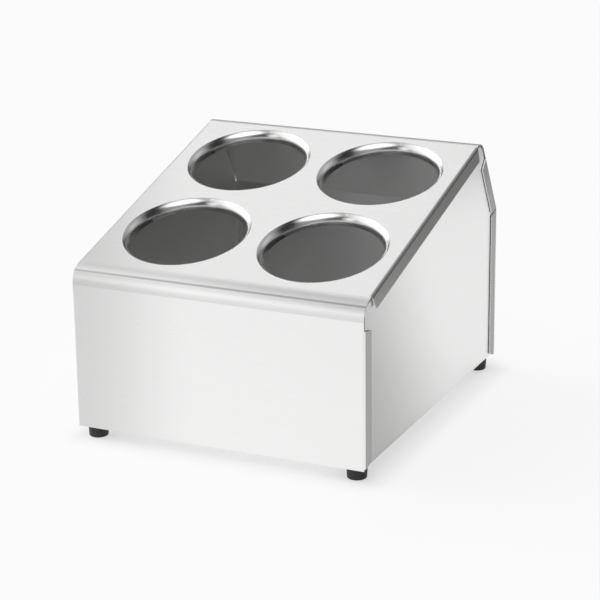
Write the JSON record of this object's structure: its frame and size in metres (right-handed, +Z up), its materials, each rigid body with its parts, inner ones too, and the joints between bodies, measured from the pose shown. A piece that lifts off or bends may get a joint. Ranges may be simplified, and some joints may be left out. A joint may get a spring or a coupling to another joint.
{
  "type": "cutlery dispenser stand",
  "caption": "Wedge-shaped folded stainless sheet stand with plunged round openings in a sloping top for flatware cylinders, on rubber feet.",
  "frame": {"origin": "on the floor below the middle of the stand", "axes": "+Z up, -Y out of the low front, +X to the right seen from the front"},
  "size_m": [0.2526, 0.29, 0.2083],
  "materials": {
    "shell_steel": "brushed stainless",
    "panel_steel": "brushed stainless",
    "base_steel": "brushed stainless",
    "foot_rubber": "matte black",
    "fastener_steel": "plain stainless"
  },
  "bodies": {
    "root": {"outer_shell": "shell_steel", "left_side_panel": "panel_steel", "right_side_panel": "panel_steel", "base_plate": "base_steel", "foot_front_left": "foot_rubber", "foot_front_right": "foot_rubber", "foot_rear_left": "foot_rubber", "foot_rear_right": "foot_rubber", "foot_screws": "fastener_steel", "foot_washers": "fastener_steel", "nut_washers": "fastener_steel", "foot_nuts": "fastener_steel"}
  },
  "joints": []
}
